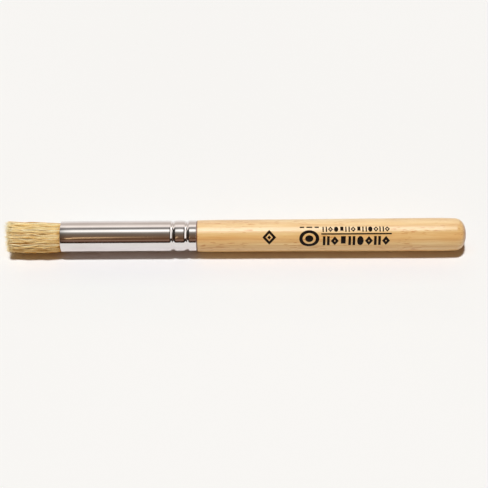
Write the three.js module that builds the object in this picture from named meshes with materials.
// A round stencil brush, lying on its side.
//
// +X runs along the brush from the bristles to the butt of the handle, +Z is up and the brush rests on Z = 0.
// The origin is under the middle of its length. Lengths are in millimetres.
//
// Every round piece is turned on one axis parallel to X. "Station" is the distance along that axis from the
// ferrule's mouth: bristles stick out at negative stations, and the handle leaves the ferrule at FERRULE_LENGTH.
// A turned piece has flats, and its radius is measured to the middle of a flat.

import * as THREE from "three";

// --- Driving dimensions ---------------------------------------------------------------------------------------

const SIDES = 32; // flats on every turned piece
const CLEARANCE = 0.3; // between pieces that touch on the real brush

const FERRULE_BORE_RADIUS = 6.35; // filled by the bristles: a half-inch brush
const FERRULE_WALL = 0.32;
const FERRULE_LENGTH = 57.3;
// Two rolled grooves, and the crowned bead between them.
const CRIMPS = [
  { fromRear: 10, spread: 0.64 },
  { fromRear: 4, spread: 0.62 },
];
const CRIMP_DEPTH = 0.48;
const BEAD_FALL = 0.018; // how far the bead falls away from its middle, per millimetre squared

const BRISTLE_LENGTH = 23; // outside the ferrule
// Station, and the tuft's radius there: a flat-cut tip with its rim just rounded, a slight belly, a narrower mouth.
const TUFT_OUTLINE = [
  [-BRISTLE_LENGTH, 6.6],
  [-22.6, 6.7],
  [-12.5, 6.78],
  [-7, 6.7],
  [-2.5, 6.45],
];
const TUFT_MOUTH_RADIUS = 6.25; // just outside the ferrule
const KNOT_LENGTH = 29.7; // inside the ferrule

const THREAD_RADIUS = 0.3;
const THREAD_SIDES = 8;
const THREAD_STEPS = 16; // in each turn
const THREAD_TURNS = 5;
const THREAD_PITCH = 0.76;
const THREAD_START = 14.6; // station of the first turn
const WAIST_RADIUS = 4.95; // of the knot under the thread
const WAIST_SLOPE = 0.5; // length of the step down to the waist, and of the step up from it
const BUTT_RADIUS = 5.05; // of the knot inside the resin

const RESIN_START = 20;
const RESIN_END = 34;
const RESIN_EDGE = [0.6, 1.2]; // how far the plug's rear edge is rounded off, along and across the axis

const TENON_LENGTH = 20;
const TENON_NOSE_LENGTH = 2.5;
const TENON_NOSE_DROP = 1.1; // radius that the chamfered nose loses

const GLUE_LENGTH = 1.5; // in front of the tenon's nose
const GLUE_WEDGE = 0.68; // share of the nose's chamfer that the glue covers

const HANDLE_LENGTH = 114.1; // outside the ferrule
const HANDLE_SHOULDER_RADIUS = 6.6; // where it meets the ferrule
const HANDLE_END_RADIUS = 7.06; // the widest part, near the butt
const DOME_LENGTH = 5;
const DOME_RADIUS = 6.9; // where the domed butt begins
const DOME_POWER = 2.3; // 2 is an ellipse; more is squarer
// Distance from the ferrule's rear edge, and radius there.
const HANDLE_OUTLINE = [
  [1.2, 6.7],
  [4.2, 6.79],
  [12, 6.82],
  [35, 6.84],
  [50, 6.87],
  [64, 6.95],
  [80, 7.0],
  [92, HANDLE_END_RADIUS],
  [104, HANDLE_END_RADIUS],
];

// --- Derived dimensions ---------------------------------------------------------------------------------------

const FERRULE_RADIUS = FERRULE_BORE_RADIUS + FERRULE_WALL;
const INNER_RADIUS = FERRULE_BORE_RADIUS - CLEARANCE; // of whatever sits inside the ferrule
const TENON_START = FERRULE_LENGTH - TENON_LENGTH;
const OVERALL_LENGTH = BRISTLE_LENGTH + FERRULE_LENGTH + HANDLE_LENGTH;
// The handle's widest stretch rests on one of its flats.
const AXIS_HEIGHT = HANDLE_END_RADIUS;

// --- Helpers --------------------------------------------------------------------------------------------------

// A mesh turned from an outline of [station, radius] points, listed along the outside towards the butt.
// A flat of the turned shape faces straight down.
function turned(name, outline, material) {
  const halfSide = Math.PI / SIDES;
  const toCorner = 1 / Math.cos(halfSide);
  const profile = outline.map(([station, radius]) => new THREE.Vector2(radius * toCorner, station));
  const mesh = new THREE.Mesh(new THREE.LatheGeometry(profile, SIDES, halfSide), material);
  mesh.name = name;
  mesh.rotation.z = -Math.PI / 2; // turns the lathe's own axis, +Y, onto +X
  return mesh;
}

// How far the ferrule's wall is pressed in at a station: two smooth grooves, and the bead's crown.
function crimpInset(station) {
  const [first, last] = grooveStations();
  const crown = station > first && station < last ? BEAD_FALL * (station - (first + last) / 2) ** 2 : 0;
  const groove = CRIMPS.reduce((sum, { fromRear, spread }) => {
    return sum + Math.exp(-(((station - FERRULE_LENGTH + fromRear) / spread) ** 2));
  }, 0);
  return CRIMP_DEPTH * groove + crown * (1 - groove);
}

function grooveStations() {
  return CRIMPS.map(({ fromRear }) => FERRULE_LENGTH - fromRear);
}

// [station, radius] points of a wall of the given radius, close together where the crimps bend it.
function crimpedWall(from, to, radius) {
  const reach = 1.8; // bent wall beyond the middle of either groove
  const steps = 48;
  const [first, last] = grooveStations();
  const bend = [];
  for (let i = 0; i <= steps; i++) {
    const station = first - reach + (i / steps) * (last - first + 2 * reach);
    bend.push([station, radius - crimpInset(station)]);
  }
  return [[from, radius], ...bend, [to, radius]];
}

function metal(color, roughness) {
  return new THREE.MeshStandardMaterial({ color, roughness, metalness: 1 });
}

function solid(color, roughness) {
  return new THREE.MeshStandardMaterial({ color, roughness, metalness: 0 });
}

// --- Pieces ---------------------------------------------------------------------------------------------------

// The turned wooden handle: chamfered tenon, crimped with the ferrule, shoulder, long grip and domed butt.
function handle() {
  const shoulder = FERRULE_LENGTH + CLEARANCE;
  const outline = [
    [TENON_START, 0],
    [TENON_START, INNER_RADIUS - TENON_NOSE_DROP],
    ...crimpedWall(TENON_START + TENON_NOSE_LENGTH, shoulder, INNER_RADIUS),
    [shoulder, HANDLE_SHOULDER_RADIUS],
    ...HANDLE_OUTLINE.map(([distance, radius]) => [FERRULE_LENGTH + distance, radius]),
    ...domedButt(),
  ];
  return turned("handle", outline, solid(0xdcb47e, 0.4));
}

// A quarter of a squarish ellipse, from the grip's edge to the axis.
function domedButt() {
  const steps = 10;
  const start = FERRULE_LENGTH + HANDLE_LENGTH - DOME_LENGTH;
  const points = [];
  for (let i = 0; i <= steps; i++) {
    const angle = (i / steps) * (Math.PI / 2);
    const along = Math.sin(angle) ** (2 / DOME_POWER);
    const across = i === steps ? 0 : Math.cos(angle) ** (2 / DOME_POWER);
    points.push([start + DOME_LENGTH * along, DOME_RADIUS * across]);
  }
  return points;
}

// The seamless tube, open at both ends, with its wall pressed in at each crimp.
function ferrule() {
  const outside = crimpedWall(0, FERRULE_LENGTH, FERRULE_RADIUS);
  const inside = crimpedWall(0, FERRULE_LENGTH, FERRULE_BORE_RADIUS).reverse();
  const outline = [...outside, ...inside, outside[0]];
  return turned("ferrule", outline, metal(0xd6d4d0, 0.12));
}

// The bunch of bristles as one solid: flat-cut tip, slight flare, waist under the thread and butt in the resin.
function bristleTuft() {
  const threadEnd = THREAD_START + THREAD_TURNS * THREAD_PITCH;
  const outline = [
    [-BRISTLE_LENGTH, 0],
    ...TUFT_OUTLINE,
    [-CLEARANCE, TUFT_MOUTH_RADIUS],
    [-CLEARANCE, INNER_RADIUS],
    [THREAD_START - 2 * WAIST_SLOPE, INNER_RADIUS],
    [THREAD_START - WAIST_SLOPE, WAIST_RADIUS],
    [threadEnd + WAIST_SLOPE, WAIST_RADIUS],
    [threadEnd + 2 * WAIST_SLOPE, BUTT_RADIUS],
    [KNOT_LENGTH, BUTT_RADIUS],
    [KNOT_LENGTH, 0],
  ];
  return turned("bristle_tuft", outline, solid(0xd9b77c, 0.6));
}

// The thread wound round the knot's waist.
function bindingThread() {
  const coilRadius = WAIST_RADIUS + CLEARANCE + THREAD_RADIUS;

  class Helix extends THREE.Curve {
    getPoint(t, target = new THREE.Vector3()) {
      const angle = t * THREAD_TURNS * 2 * Math.PI;
      const station = THREAD_START + t * THREAD_TURNS * THREAD_PITCH;
      return target.set(station, coilRadius * Math.cos(angle), coilRadius * Math.sin(angle));
    }
  }

  const section = new THREE.Shape();
  for (let i = 0; i < THREAD_SIDES; i++) {
    const angle = (i / THREAD_SIDES) * 2 * Math.PI;
    const corner = [THREAD_RADIUS * Math.cos(angle), THREAD_RADIUS * Math.sin(angle)];
    if (i === 0) section.moveTo(...corner);
    else section.lineTo(...corner);
  }
  const geometry = new THREE.ExtrudeGeometry(section, {
    steps: THREAD_TURNS * THREAD_STEPS,
    extrudePath: new Helix(),
    bevelEnabled: false,
  });
  const mesh = new THREE.Mesh(geometry, solid(0xe8e2d2, 0.8));
  mesh.name = "binding_thread";
  return mesh;
}

// The resin plug: a cup round the knot's butt, closed behind it.
function settingResin() {
  const pocketRadius = BUTT_RADIUS + CLEARANCE;
  const pocketEnd = KNOT_LENGTH + CLEARANCE;
  const [edgeLength, edgeDrop] = RESIN_EDGE;
  const outline = [
    [pocketEnd, 0],
    [pocketEnd, pocketRadius],
    [RESIN_START, pocketRadius],
    [RESIN_START, INNER_RADIUS],
    [RESIN_END - edgeLength, INNER_RADIUS],
    [RESIN_END, INNER_RADIUS - edgeDrop],
    [RESIN_END, 0],
  ];
  return turned("setting_resin", outline, solid(0x8a5a2a, 0.25));
}

// The bead of glue in the wedge between the tenon's nose and the ferrule's wall.
function handleGlue() {
  const innerEdge = INNER_RADIUS - TENON_NOSE_DROP;
  const front = TENON_START - GLUE_LENGTH;
  const wedgeEnd = TENON_START + GLUE_WEDGE * TENON_NOSE_LENGTH;
  const outline = [
    [front, innerEdge],
    [front, INNER_RADIUS],
    [wedgeEnd, INNER_RADIUS],
    [TENON_START, innerEdge + CLEARANCE],
    [front, innerEdge],
  ];
  return turned("handle_glue", outline, solid(0xd8cba2, 0.3));
}

// --- Assembly -------------------------------------------------------------------------------------------------

const brush = new THREE.Group();
brush.add(handle(), ferrule(), bristleTuft(), bindingThread(), settingResin(), handleGlue());
// From stations along the axis to the part's own frame.
brush.position.set(BRISTLE_LENGTH - OVERALL_LENGTH / 2, 0, AXIS_HEIGHT);

export default brush;
